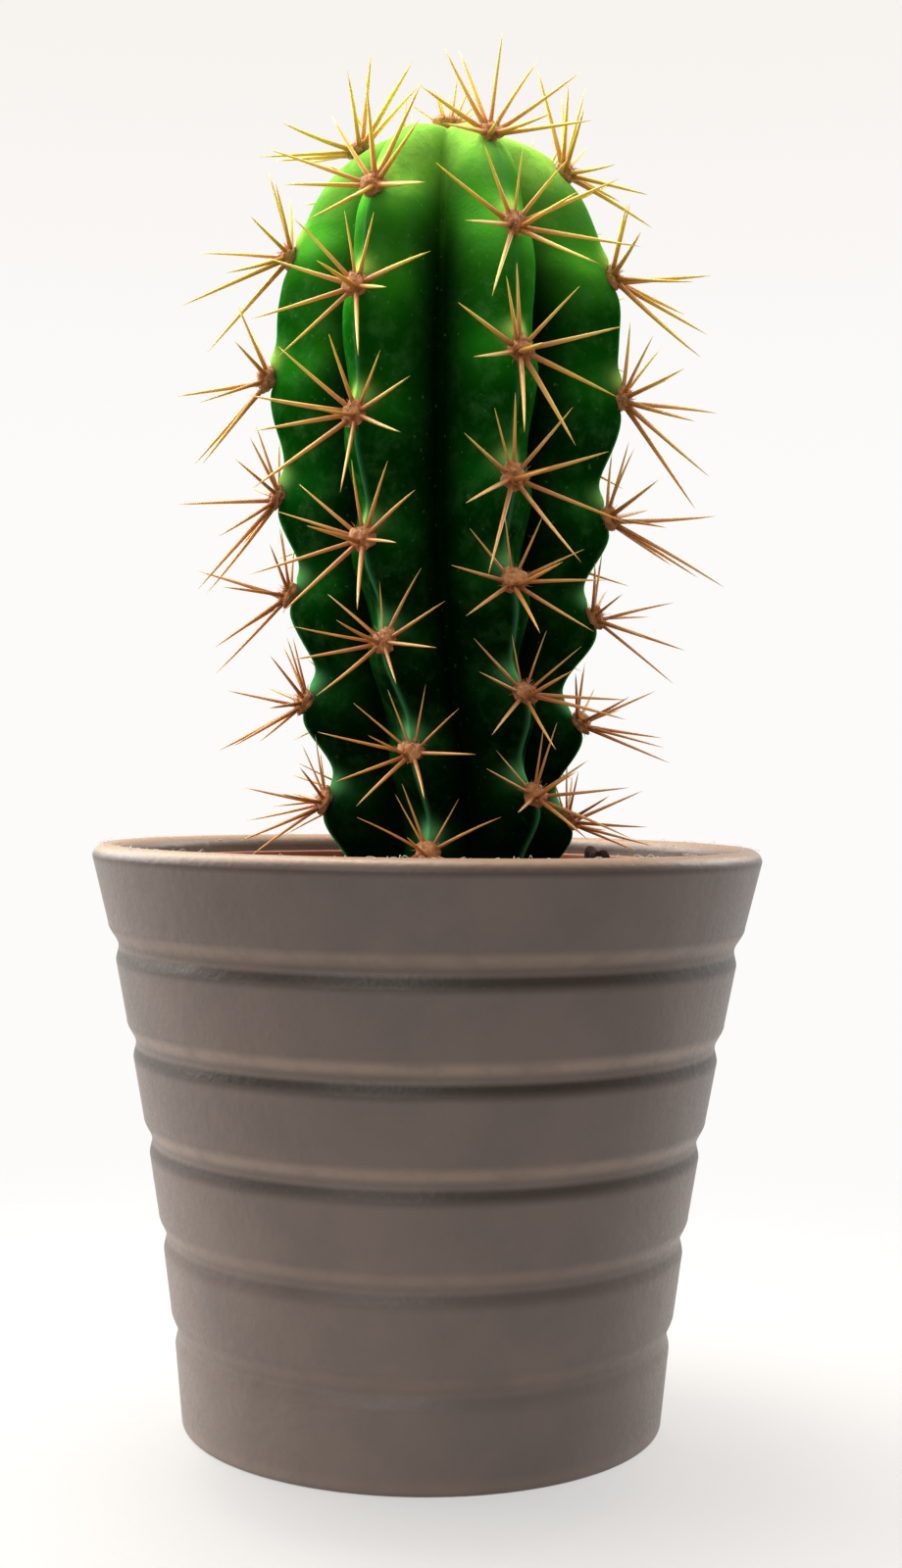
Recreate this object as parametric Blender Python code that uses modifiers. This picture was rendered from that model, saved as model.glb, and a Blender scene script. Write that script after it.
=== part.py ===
"""Potted tall cactus: a six-ribbed columnar cactus in a nursery pot, inside a banded ceramic cover pot.

Metres, +Z up. The origin is the centre of the foot ring's underside. The viewer stands at -Y.
"""

import math
import random

import bmesh
import bpy
import numpy as np
from mathutils import Matrix, Vector
from mathutils.bvhtree import BVHTree
from mathutils.geometry import intersect_line_line

MM = 0.001
GAP = 0.3 * MM  # left between touching pieces
TURN_STEPS = 48

# Outer pot
LIP_RADIUS = 65.0 * MM
LIP_HEIGHT = 112.4 * MM
LIP_THICKNESS = 5.2 * MM
LIP_ROUND = 2.4 * MM
NOTCH_TOP = 92.8 * MM
NOTCH_PITCH = 18.65 * MM
NOTCH_DROP = 4.6 * MM  # height of the rounded lower edge above each notch
NOTCH_RISE = 2.8 * MM  # height of the hollow under each notch
BAND_TOP_RADII = [r * MM for r in (65.0, 60.3, 56.8, 53.5, 50.6, 48.2)]
BAND_DRAFTS = (0.245, 0.19, 0.18, 0.16, 0.13, 0.09)
HOLLOW_DEPTH = 0.45 * MM
FOOT_INNER_RADIUS = 39.0 * MM
FOOT_ROUND = 0.8 * MM
RECESS_DEPTH = 1.5 * MM
FLOOR_TOP = 6.0 * MM
CAVITY_FLOOR_RADIUS = 41.0 * MM

# Nursery pot
NURSERY_BOTTOM = FLOOR_TOP + GAP
NURSERY_WALL = 0.9 * MM
NURSERY_FLOOR_RADIUS = 38.5 * MM
NURSERY_NECK_RADIUS = 54.6 * MM
NURSERY_NECK_HEIGHT = 101.0 * MM
NURSERY_RIM_RADIUS = 57.5 * MM
NURSERY_RIM_TOP = 109.0 * MM
DRAIN_HOLES = 6
DRAIN_RADIUS = 2.2 * MM
DRAIN_CIRCLE = 26.0 * MM

# Soil
SOIL_EDGE_HEIGHT = 100.6 * MM
SOIL_MOUND_HEIGHT = 105.0 * MM
SOIL_MOUND_RADIUS = 30.0 * MM

# Stem
STEM_X = 2.6 * MM
STEM_LEAN = 2.0 * MM  # how far its foot stands further towards +X
FOOT_HEIGHT = 92.0 * MM
GROUND_HEIGHT = 104.0 * MM
WAIST_HEIGHT = 205.0 * MM  # where the column is widest
TIP_HEIGHT = 251.8 * MM
STEM_RADIUS = 35.0 * MM
STEM_SLIMMING = 12.5 * MM  # how much narrower it is 110 mm below the widest place
TWIST = math.radians(18.5)
TWIST_TOP = 176.0 * MM
TWIST_BOTTOM = 112.0 * MM
# Each rib: azimuth in degrees (0 faces the viewer, + turns to +X), height of its top areole in mm,
# stretch of the gaps between its areoles, and depth of its scallops against the common one
RIBS = (
    (-92.0, 248.0, 1.02, 0.95),
    (-29.5, 234.6, 0.985, 1.0),
    (22.0, 246.2, 0.99, 1.05),
    (85.0, 243.6, 1.01, 1.2),
    (146.0, 239.0, 0.99, 1.0),
    (207.0, 244.5, 0.98, 0.9),
)
AREOLE_GAPS = (20.0, 23.5, 23.0, 19.0, 20.5, 19.0)  # down a rib from its top areole, mm
GROOVE_RATIO = 0.54
SCALLOP_HEIGHTS = [z * MM for z in (110.0, 146.0, 185.0, 215.0, 245.0)]
SCALLOP_DEPTHS = [d * MM for d in (4.6, 4.5, 2.4, 1.0, 0.2)]
FLANK_STATIONS = (-1.0, -0.68, -0.38, -0.14, 0.0, 0.14, 0.38, 0.68)  # across a rib: groove, crest, groove

# Areoles and spines
PAD_RADIUS = 2.3 * MM
PAD_THICKNESS = 0.5  # of its width
RADIAL_SPINES = 9
SPINE_LENGTH = 22.5 * MM
SPINE_SKEW = 0.2  # how much longer the lowest spines of a cluster are than its middle ones
SPINE_CLEARANCE = 1.1 * MM
CROWN_RADIUS = 3.4 * MM
CROWN_SPINES = 9
CROWN_SPINE_LENGTH = 8.5 * MM

# Bark chips on the soil: x, y, width, height in mm
BARK_CHIPS = ((34.0, 9.0, 7.0, 7.5), (41.0, 3.0, 6.0, 5.5), (36.0, -14.0, 5.5, 4.5), (-31.0, 16.0, 6.5, 4.5))

for leftover in list(bpy.data.objects):
    bpy.data.objects.remove(leftover, do_unlink=True)

parts = bpy.data.collections.new("potted_tall_cactus")
cutters = bpy.data.collections.new("cutters")
bpy.context.scene.collection.children.link(parts)
bpy.context.scene.collection.children.link(cutters)


def make_material(name, color, roughness, metallic=0.0):
    """A plain Principled material."""
    material = bpy.data.materials.new(name)
    material.use_nodes = True
    shader = material.node_tree.nodes["Principled BSDF"]
    shader.inputs["Base Color"].default_value = (*color, 1.0)
    shader.inputs["Roughness"].default_value = roughness
    shader.inputs["Metallic"].default_value = metallic
    material.diffuse_color = (*color, 1.0)
    return material


def add_object(name, mesh, material, collection=parts):
    """Links a mesh as a named object with its own material."""
    obj = bpy.data.objects.new(name, mesh)
    collection.objects.link(obj)
    if material is not None:
        mesh.materials.append(material)
    return obj


def add_cutter(name, mesh):
    """Links a mesh as a hidden Boolean cutter."""
    cutter = add_object(name, mesh, None, cutters)
    cutter.hide_render = True
    cutter.display_type = "WIRE"
    return cutter


def cut(obj, cutter):
    """Takes the cutter's shape out of the object."""
    boolean = obj.modifiers.new("Cut " + cutter.name, "BOOLEAN")
    boolean.operation = "DIFFERENCE"
    boolean.solver = "EXACT"
    boolean.object = cutter


def turned(name, profile, material):
    """A turned body: a profile of (radius, height) points spun round the Z axis with a Screw modifier."""
    mesh = bpy.data.meshes.new(name)
    points = [(radius, 0.0, height) for radius, height in profile]
    mesh.from_pydata(points, [(i, i + 1) for i in range(len(points) - 1)], [])
    obj = add_object(name, mesh, material)
    screw = obj.modifiers.new("Turn", "SCREW")
    screw.steps = TURN_STEPS
    screw.render_steps = TURN_STEPS
    screw.use_merge_vertices = True
    screw.merge_threshold = 0.00001
    screw.use_smooth_shade = True
    return obj


def ease(x):
    """Smooth step from 0 to 1."""
    x = np.clip(x, 0.0, 1.0)
    return x * x * (3.0 - 2.0 * x)


# ---------------------------------------------------------------- outer pot


def outer_pot_profile():
    """From the middle of the cavity's floor up its wall, over the lip, down the bands and under the foot."""
    half = LIP_THICKNESS / 2
    lip_center = (LIP_RADIUS - half, LIP_HEIGHT - LIP_ROUND)
    profile = [(0.0, FLOOR_TOP), (CAVITY_FLOOR_RADIUS - 2 * MM, FLOOR_TOP)]
    profile.append((CAVITY_FLOOR_RADIUS, FLOOR_TOP + 2 * MM))
    for step in range(7):
        angle = math.pi * (1.0 - step / 6)
        profile.append((lip_center[0] + half * math.cos(angle), lip_center[1] + LIP_ROUND * math.sin(angle)))
    band_top = lip_center[1]
    for band, (radius, draft) in enumerate(zip(BAND_TOP_RADII, BAND_DRAFTS)):
        if band == len(BAND_TOP_RADII) - 1:
            profile.append((radius - draft * (band_top - FOOT_ROUND), FOOT_ROUND))
            break
        notch = NOTCH_TOP - band * NOTCH_PITCH
        edge = radius - draft * (band_top - notch - NOTCH_DROP)
        below = BAND_TOP_RADII[band + 1]
        bottom = below - HOLLOW_DEPTH
        for part in (0.0, 0.35, 0.65, 1.0):
            profile.append((edge + (bottom - edge) * float(ease(part)), notch + NOTCH_DROP * (1.0 - part)))
        for part in (0.5, 1.0):
            profile.append((bottom + (below - bottom) * float(ease(part)), notch - NOTCH_RISE * part))
        band_top = notch - NOTCH_RISE
    foot_radius = profile[-1][0] - FOOT_ROUND
    profile.append((foot_radius, 0.0))
    profile.append((FOOT_INNER_RADIUS, 0.0))
    profile.append((FOOT_INNER_RADIUS - RECESS_DEPTH, RECESS_DEPTH))
    profile.append((0.0, RECESS_DEPTH))
    return profile


turned("outer_pot", outer_pot_profile(), make_material("taupe_glaze", (0.13, 0.115, 0.1), 0.42))

# -------------------------------------------------------------- nursery pot

nursery_profile = [
    (0.0, NURSERY_BOTTOM + NURSERY_WALL),
    (NURSERY_FLOOR_RADIUS - NURSERY_WALL, NURSERY_BOTTOM + NURSERY_WALL),
    (NURSERY_NECK_RADIUS - NURSERY_WALL, NURSERY_NECK_HEIGHT),
    (NURSERY_RIM_RADIUS - NURSERY_WALL, NURSERY_NECK_HEIGHT + NURSERY_WALL),
    (NURSERY_RIM_RADIUS - NURSERY_WALL, NURSERY_RIM_TOP - 0.3 * MM),
    (NURSERY_RIM_RADIUS - 0.5 * NURSERY_WALL, NURSERY_RIM_TOP),
    (NURSERY_RIM_RADIUS, NURSERY_RIM_TOP - 0.3 * MM),
    (NURSERY_RIM_RADIUS, NURSERY_NECK_HEIGHT),
    (NURSERY_NECK_RADIUS, NURSERY_NECK_HEIGHT - NURSERY_WALL),
    (NURSERY_FLOOR_RADIUS, NURSERY_BOTTOM),
    (0.0, NURSERY_BOTTOM),
]
terracotta = make_material("terracotta_plastic", (0.32, 0.1, 0.045), 0.5)
nursery_pot = turned("nursery_pot", nursery_profile, terracotta)

drill = bmesh.new()
for hole in range(DRAIN_HOLES):
    angle = math.tau * hole / DRAIN_HOLES
    center = Vector((DRAIN_CIRCLE * math.cos(angle), DRAIN_CIRCLE * math.sin(angle), NURSERY_BOTTOM))
    bmesh.ops.create_cone(
        drill,
        cap_ends=True,
        segments=12,
        radius1=DRAIN_RADIUS,
        radius2=DRAIN_RADIUS,
        depth=6 * NURSERY_WALL,
        matrix=Matrix.Translation(center),
    )
drill_mesh = bpy.data.meshes.new("drain_drill")
drill.to_mesh(drill_mesh)
drill.free()
cut(nursery_pot, add_cutter("drain_drill", drill_mesh))

# --------------------------------------------------------------------- stem


def areole_heights(rib):
    """Heights of a rib's areoles from the top one down, at gaps that all the ribs share."""
    top, stretch = RIBS[rib][1:3]
    return [(top - stretch * sum(AREOLE_GAPS[:count])) * MM for count in range(len(AREOLE_GAPS) + 1)]


def envelope(z):
    """Radius that the crests reach: a dome, a slow taper below it and a round foot in the soil."""
    up = np.clip((z - WAIST_HEIGHT) / (TIP_HEIGHT - WAIST_HEIGHT), 0.0, 1.0)
    down = np.clip((WAIST_HEIGHT - z) / (110 * MM), 0.0, 2.0)
    sunk = np.clip((GROUND_HEIGHT - z) / (GROUND_HEIGHT - FOOT_HEIGHT), 0.0, 1.0)
    dome = STEM_RADIUS * (1.0 - up**1.6) ** (1 / 3)
    return (dome - STEM_SLIMMING * down**1.2) * (1.0 - 0.45 * sunk**2)


def crest_radius(rib, z):
    """The envelope less the scallops: the deepest place is a quarter of a gap above the next areole down."""
    heights = np.array(areole_heights(rib))
    last_gap = heights[-2] - heights[-1]
    buried = [heights[-1] - last_gap, heights[-1] - 2 * last_gap]
    ladder = np.concatenate([[heights[0] + 20 * MM], heights, buried])
    place = np.interp(z, ladder[::-1], np.arange(len(ladder))[::-1])
    phase = (place - 0.12) % 1.0
    turn = np.where(phase < 0.62, 0.5 * phase / 0.62, 0.5 + 0.5 * (phase - 0.62) / 0.38)
    dip = 0.5 - 0.5 * np.cos(math.tau * turn)
    return envelope(z) - RIBS[rib][3] * np.interp(z, SCALLOP_HEIGHTS, SCALLOP_DEPTHS) * dip


def rib_azimuth(rib, z):
    """Azimuth of a crest, which twists towards +X near the ground."""
    return math.radians(RIBS[rib][0]) + TWIST * ease((TWIST_TOP - z) / (TWIST_TOP - TWIST_BOTTOM))


def axis_x(z):
    """Where the stem's axis stands: upright above, and bowed a little towards +X near the ground."""
    return STEM_X + STEM_LEAN * ease((150 * MM - z) / (42 * MM))


def half_gap(rib, side):
    """Half of the angle between a rib and its neighbour on one side."""
    neighbour = RIBS[(rib + side) % len(RIBS)][0]
    return math.radians(side * (neighbour - RIBS[rib][0]) % 360) / 2


def stem_column(rib, station, z, clearance=0.0):
    """Points up the stem at one station across a rib: -1 and 1 are its grooves and 0 is its crest."""
    side = 1 if station > 0 else -1
    rounding = 0.09
    across = (math.hypot(station, rounding) - rounding) / (math.hypot(1.0, rounding) - rounding)
    rise = ease((z - WAIST_HEIGHT) / (TIP_HEIGHT - WAIST_HEIGHT))
    flank = 1.0 - across ** (1.15 + 0.3 * rise)
    groove = envelope(z) * (GROOVE_RATIO + 0.02 * rise)
    radius = groove + (crest_radius(rib, z) - groove) * flank + clearance
    azimuth = rib_azimuth(rib, z) + station * half_gap(rib, side)
    return np.stack([axis_x(z) + radius * np.sin(azimuth), -radius * np.cos(azimuth), z], axis=1)


def stem_rows():
    """Heights of the stem's rings, closer together over the dome."""
    dome = np.sin(np.linspace(0.0, math.pi / 2, 13)[:-1]) ** 1.25
    below = np.linspace(FOOT_HEIGHT, WAIST_HEIGHT, 26)[:-1]
    return np.concatenate([below, WAIST_HEIGHT + (TIP_HEIGHT - WAIST_HEIGHT) * dome])


def stem_mesh(name, clearance=0.0):
    """Lofts the stem through its rings and closes it at the foot and at the growing tip."""
    z = stem_rows()
    stations = [(rib, station) for rib in range(len(RIBS)) for station in FLANK_STATIONS]
    columns = [stem_column(rib, station, z, clearance) for rib, station in stations]
    points = np.stack(columns, axis=1)
    points[0, :, 2] -= clearance
    rows, around = points.shape[:2]
    bm = bmesh.new()
    rings = [[bm.verts.new(point) for point in ring] for ring in points]
    foot = bm.verts.new((STEM_X + STEM_LEAN, 0.0, FOOT_HEIGHT - clearance))
    tip = bm.verts.new((STEM_X, 0.0, TIP_HEIGHT))
    for col in range(around):
        after = (col + 1) % around
        for row in range(rows - 1):
            bm.faces.new((rings[row][col], rings[row][after], rings[row + 1][after], rings[row + 1][col]))
        bm.faces.new((rings[0][after], rings[0][col], foot))
        bm.faces.new((rings[-1][col], rings[-1][after], tip))
    mesh = bpy.data.meshes.new(name)
    bmesh.ops.recalc_face_normals(bm, faces=bm.faces)
    bm.to_mesh(mesh)
    bm.free()
    mesh.shade_smooth()
    return mesh


stem = add_object("stem", stem_mesh("stem"), make_material("stem_green", (0.03, 0.22, 0.03), 0.45))
stem_bm = bmesh.new()
stem_bm.from_mesh(stem.data)
stem_surface = BVHTree.FromBMesh(stem_bm)
stem_bm.free()

# --------------------------------------------------------------------- soil


def nursery_inner_radius(z):
    """Inner radius of the nursery pot's wall below its neck."""
    part = (z - NURSERY_BOTTOM) / (NURSERY_NECK_HEIGHT - NURSERY_BOTTOM)
    return NURSERY_FLOOR_RADIUS - NURSERY_WALL + (NURSERY_NECK_RADIUS - NURSERY_FLOOR_RADIUS) * part


def soil_height(radius):
    """Height of the soil's surface: a low mound round the stem."""
    edge = nursery_inner_radius(SOIL_EDGE_HEIGHT)
    part = (edge - radius) / (edge - SOIL_MOUND_RADIUS)
    return SOIL_EDGE_HEIGHT + (SOIL_MOUND_HEIGHT - SOIL_EDGE_HEIGHT) * float(ease(part))


soil_bottom = NURSERY_BOTTOM + NURSERY_WALL + GAP
soil_edge = nursery_inner_radius(SOIL_EDGE_HEIGHT) - 1.2 * GAP
soil_profile = [(0.0, SOIL_MOUND_HEIGHT), (SOIL_MOUND_RADIUS, SOIL_MOUND_HEIGHT)]
for radius in (36 * MM, 43 * MM, 49 * MM, soil_edge):
    soil_profile.append((radius, soil_height(radius)))
soil_profile.append((nursery_inner_radius(soil_bottom) - 1.2 * GAP, soil_bottom))
soil_profile.append((0.0, soil_bottom))
soil = turned("soil", soil_profile, make_material("potting_soil", (0.035, 0.022, 0.015), 0.95))
cut(soil, add_cutter("foot_socket", stem_mesh("foot_socket", clearance=1.8 * GAP)))

# --------------------------------------------------------------- bark chips

bark = make_material("bark", (0.05, 0.025, 0.015), 0.9)
chip_boxes = []
for number, (x, y, width, height) in enumerate(BARK_CHIPS, start=1):
    bm = bmesh.new()
    bmesh.ops.create_icosphere(bm, subdivisions=1, radius=0.5)
    lean = Matrix.Rotation(0.6 * number, 4, "Z") @ Matrix.Rotation(0.35, 4, "X")
    size = Matrix.Diagonal((width * MM, 0.6 * width * MM, height * MM, 1.0))
    bmesh.ops.transform(bm, matrix=lean @ size, verts=bm.verts)
    lowest = min(vert.co.z for vert in bm.verts)
    ground = soil_height(math.hypot(x, y) * MM - 0.3 * width * MM) + GAP
    bmesh.ops.translate(bm, vec=(x * MM, y * MM, ground - lowest), verts=bm.verts)
    mesh = bpy.data.meshes.new(f"bark_chip_{number}")
    bm.to_mesh(mesh)
    bm.free()
    add_object(f"bark_chip_{number}", mesh, bark)
    chip_boxes.append((Vector((x * MM, y * MM, ground + 0.5 * height * MM)), 0.62 * max(width, height) * MM))

# -------------------------------------------------------- areoles and spines

wool = make_material("areole_wool_and_spines", (0.3, 0.12, 0.03), 0.7)
placed_spines = []  # (start, end, owner) of every spine so far
placed_pads = []  # (centre, radius, owner)


def outside_stem(point, clearance):
    """Whether a point is outside the stem by at least the clearance."""
    nearest, normal, _, distance = stem_surface.find_nearest(point)
    return distance >= clearance and (point - nearest).dot(normal) > 0


def segment_distance(a, b, c, d):
    """Shortest distance between the segments ab and cd."""
    shortest = 1.0
    met = intersect_line_line(a, b, c, d)
    if met is not None:
        on_ab = (met[0] - a).dot(b - a) / (b - a).length_squared
        on_cd = (met[1] - c).dot(d - c) / (d - c).length_squared
        if 0 <= on_ab <= 1 and 0 <= on_cd <= 1:
            return (met[0] - met[1]).length
    for point, start, end in ((a, c, d), (b, c, d), (c, a, b), (d, a, b)):
        part = min(1.0, max(0.0, (point - start).dot(end - start) / (end - start).length_squared))
        shortest = min(shortest, (point - start - part * (end - start)).length)
    return shortest


def spine_is_clear(start, end, owner):
    """Whether a spine misses the stem, the soil, the pots, the chips and every other cluster."""
    for part in (0.3, 0.5, 0.75, 1.0):
        if not outside_stem(start.lerp(end, part), (1.0 - 0.5 * part) * MM):
            return False
    reach = math.hypot(end.x, end.y)
    if end.z < LIP_HEIGHT + 2 * MM and reach > 52 * MM:
        return False
    if end.z < soil_height(min(reach, 50 * MM)) + 1.2 * MM:
        return False
    for center, radius in chip_boxes:
        if segment_distance(start, end, center, center + Vector((0, 0, 0.1 * MM))) < radius:
            return False
    for center, radius, other in placed_pads:
        near = segment_distance(start, end, center, center + Vector((0, 0, 0.1 * MM)))
        if other != owner and near < radius + 0.9 * MM:
            return False
    for other_start, other_end, other in placed_spines:
        if other != owner and segment_distance(start, end, other_start, other_end) < SPINE_CLEARANCE:
            return False
    return True


def local_direction(frame, clock, lift):
    """A direction at a clock angle round the areole (0 = up the rib), lifted off the skin."""
    flat = math.cos(clock) * frame.col[1].to_3d() + math.sin(clock) * frame.col[0].to_3d()
    return (math.cos(lift) * flat + math.sin(lift) * frame.col[2].to_3d()).normalized()


def areole(name, frame, radius, wishes, draw):
    """A felt pad whose spines grow out of its faces.

    Each wish is (clock angle, lift, length). A spine that would touch something is turned and shortened
    a little until it is clear, and left out if it never is.
    """
    bm = bmesh.new()
    bmesh.ops.create_icosphere(bm, subdivisions=2, radius=radius)
    bmesh.ops.transform(bm, matrix=frame @ Matrix.Diagonal((1.0, 1.0, PAD_THICKNESS, 1.0)), verts=bm.verts)
    center = frame.translation.copy()
    free_faces = list(bm.faces)
    for clock, lift, length in wishes:
        for attempt in range(36):
            turn = 0.0 if attempt == 0 else draw.uniform(-0.3, 0.3)
            raised = lift if attempt == 0 else lift + draw.uniform(-0.05, 0.35)
            direction = local_direction(frame, clock + turn, min(raised, 1.4))
            tip = center + direction * length * (1.0 - 0.015 * attempt)
            if spine_is_clear(center + direction * radius, tip, name):
                aims = [(f.calc_center_median() - center).normalized().dot(direction) for f in free_faces]
                face = free_faces[aims.index(max(aims))]
                free_faces.remove(face)
                poked = bmesh.ops.poke(bm, faces=[face])
                poked["verts"][0].co = tip
                placed_spines.append((center, tip, name))
                break
    mesh = bpy.data.meshes.new(name)
    bm.to_mesh(mesh)
    bm.free()
    add_object(name, mesh, wool)


def seat(name, point, normal, up, radius):
    """The frame of a pad that sits on the skin with the gap under it."""
    normal.normalize()
    across = up.cross(normal).normalized()
    up = normal.cross(across)
    height = 0.0
    while True:
        center = point + normal * height
        rim = [center - normal * radius * PAD_THICKNESS]
        for clock in range(12):
            flat = math.cos(math.tau * clock / 12) * up + math.sin(math.tau * clock / 12) * across
            rim.append(center + flat * radius)
            rim.append(center + 0.75 * radius * flat - 0.66 * PAD_THICKNESS * radius * normal)
        if all(outside_stem(spot, 1.1 * GAP) for spot in rim):
            break
        height += 0.1 * MM
    placed_pads.append((center, radius, name))
    return Matrix.Translation(center) @ Matrix((across, up, normal)).transposed().to_4x4()


def spine_wishes(draw, length, young):
    """Nine radial spines round the pad and a central one.

    The lower radials of a grown cluster are longer and its central spine points down. On the youngest
    areoles the radials are even and the central spine points up.
    """
    skew = 0.0 if young else SPINE_SKEW
    wishes = []
    for spine in range(RADIAL_SPINES):
        clock = math.tau * (spine + 0.5 * draw.uniform(-0.5, 0.5)) / RADIAL_SPINES
        reach = length * (0.84 - skew * math.cos(clock)) * draw.uniform(0.86, 1.12)
        wishes.append((clock, math.radians(draw.uniform(12.0, 36.0)), reach))
    turned_up, lift = (math.pi, 48.0) if young else (0.0, 68.0)
    clock = math.radians(draw.uniform(140.0, 220.0)) + turned_up
    wishes.append((clock, math.radians(lift), length * draw.uniform(0.75, 0.95)))
    return wishes


seats = []
for rib in range(len(RIBS)):
    for number, height in enumerate(areole_heights(rib), start=1):
        z = np.array([height, height + 1.5 * MM, height - 1.5 * MM])
        crest = stem_column(rib, 0.0, z)
        upward = Vector(crest[1] - crest[2]).normalized()
        azimuth = float(rib_azimuth(rib, height))
        outward = Vector((math.sin(azimuth), -math.cos(azimuth), 0.0))
        normal = outward - outward.dot(upward) * upward
        name = f"areole_{rib + 1}_{number}"
        seats.append((name, seat(name, Vector(crest[0]), normal, upward, PAD_RADIUS), number))
growing_tip = Vector((STEM_X, 0.0, TIP_HEIGHT))
tip_frame = seat("crown", growing_tip, Vector((0.0, 0.0, 1.0)), Vector((0.0, 1.0, 0.0)), CROWN_RADIUS)

for name, frame, number in seats:
    draw = random.Random(name)
    size = 1.0 if number < 5 else 0.86
    areole(name, frame, PAD_RADIUS, spine_wishes(draw, SPINE_LENGTH * size, number == 1), draw)

draw = random.Random("crown")
crown_wishes = []
for spine in range(CROWN_SPINES):
    clock = math.tau * spine / CROWN_SPINES
    lift = math.radians(28.0 if spine % 2 else 62.0)
    crown_wishes.append((clock, lift, CROWN_SPINE_LENGTH * draw.uniform(0.8, 1.15)))
areole("crown", tip_frame, CROWN_RADIUS, crown_wishes, draw)
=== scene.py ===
import math

import bpy
import numpy as np
from mathutils import Matrix, Vector


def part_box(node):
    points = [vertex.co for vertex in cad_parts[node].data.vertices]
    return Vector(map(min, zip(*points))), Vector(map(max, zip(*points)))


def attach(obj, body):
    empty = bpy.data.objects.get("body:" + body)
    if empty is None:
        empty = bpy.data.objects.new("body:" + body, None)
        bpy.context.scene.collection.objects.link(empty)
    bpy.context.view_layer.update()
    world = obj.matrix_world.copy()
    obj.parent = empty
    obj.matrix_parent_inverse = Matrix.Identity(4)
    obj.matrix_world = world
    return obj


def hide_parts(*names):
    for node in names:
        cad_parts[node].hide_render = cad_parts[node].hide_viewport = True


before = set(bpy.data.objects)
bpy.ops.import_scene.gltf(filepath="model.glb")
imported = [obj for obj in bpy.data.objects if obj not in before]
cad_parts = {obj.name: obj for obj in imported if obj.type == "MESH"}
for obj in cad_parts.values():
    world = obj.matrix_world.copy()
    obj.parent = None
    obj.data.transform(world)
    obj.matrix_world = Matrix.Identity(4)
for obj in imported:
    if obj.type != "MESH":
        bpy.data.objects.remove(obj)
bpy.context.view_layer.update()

# ------------------------------------------------------------------ outer pot
# A slip-cast stoneware cover pot in a satin taupe glaze. Six tapering bands stand one inside the
# next, each with a soft rounded lower edge over a shallow hollow, under a thick rounded lip. The
# glaze breaks thinner and warmer on the edges. Painted highlights lie on those edges and on the top
# of the lip, and painted shade darkens the hollows, the inside of the cavity and a line under the lip.

MM = 0.001
LIP_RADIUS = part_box("outer_pot")[1][0]
LIP_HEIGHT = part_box("outer_pot")[1][2]
LIP_THICKNESS = 5.2 * MM
LIP_ROUND = 2.4 * MM
NOTCH_TOP = 92.8 * MM
NOTCH_PITCH = 18.65 * MM
NOTCH_DROP = 4.6 * MM
NOTCH_RISE = 2.8 * MM
HOLLOW_DEPTH = 0.45 * MM
BAND_TOP_RADII = [LIP_RADIUS] + [r * MM for r in (60.3, 56.8, 53.5, 50.6, 48.2)]
BAND_DRAFTS = (0.245, 0.19, 0.18, 0.16, 0.13, 0.09)
FOOT_INNER_RADIUS = 39.0 * MM
FOOT_ROUND = 1.0 * MM
RECESS_DEPTH = 1.5 * MM
CAVITY_FLOOR_RADIUS = 41.0 * MM
CAVITY_FLOOR_HEIGHT = 6.0 * MM
CAVITY_CORNER = 3.0 * MM
POLE_RADIUS = 2.0 * MM
TURN_SEGMENTS = 240


def ease(x):
    """Smooth step: 0 below 0, 1 above 1, 3x^2 - 2x^3 between."""
    x = np.clip(x, 0.0, 1.0)
    return x * x * (3.0 - 2.0 * x)


def arc(center, radii, start, stop, count):
    """Points of an ellipse's arc: the centre plus each radius times the cosine and sine of the angle."""
    angle = np.radians(np.linspace(start, stop, count))
    return np.stack([center[0] + radii[0] * np.cos(angle), center[1] + radii[1] * np.sin(angle)], axis=1)


def run(start, stop, count):
    """Evenly spaced points of a straight stretch, both ends included."""
    return np.linspace(start, stop, count)


def surface(name, points, attributes=None):
    """A closed mesh from a grid of points, rows by columns.

    Columns wrap round. The first and last rows each close onto one point, their own mean, which is
    the pole. Attributes are grids of the same size, one value to a point.
    """
    rows, cols = points.shape[:2]
    index = np.arange(rows * cols).reshape(rows, cols)
    after = np.roll(index, -1, axis=1)
    quads = np.stack([index[:-1], after[:-1], after[1:], index[1:]], axis=-1).reshape(-1, 4)
    south, north = rows * cols, rows * cols + 1
    low = np.stack([after[0], index[0], np.full(cols, south)], axis=-1)
    high = np.stack([index[-1], after[-1], np.full(cols, north)], axis=-1)
    verts = np.concatenate([points.reshape(-1, 3), points[0].mean(0)[None], points[-1].mean(0)[None]])
    mesh = bpy.data.meshes.new(name)
    mesh.from_pydata(verts.tolist(), [], quads.tolist() + low.tolist() + high.tolist())
    for title, values in (attributes or {}).items():
        ends = [values[0].mean(), values[-1].mean()]
        layer = mesh.attributes.new(title, "FLOAT", "POINT")
        layer.data.foreach_set("value", np.concatenate([values.ravel(), ends]).astype(np.float32))
    mesh.shade_smooth()
    piece = bpy.data.objects.new(name, mesh)
    bpy.context.scene.collection.objects.link(piece)
    return piece


def turned(name, profile, segments=TURN_SEGMENTS):
    """Spins a profile of (radius, height) points, which runs up the outside, round the Z axis."""
    angle = np.linspace(0.0, math.tau, segments, endpoint=False)
    radius, height = profile[:, 0:1], profile[:, 1:2]
    ring = np.stack([radius * np.cos(angle), radius * np.sin(angle), height + 0.0 * angle], axis=-1)
    return surface(name, ring)


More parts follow.
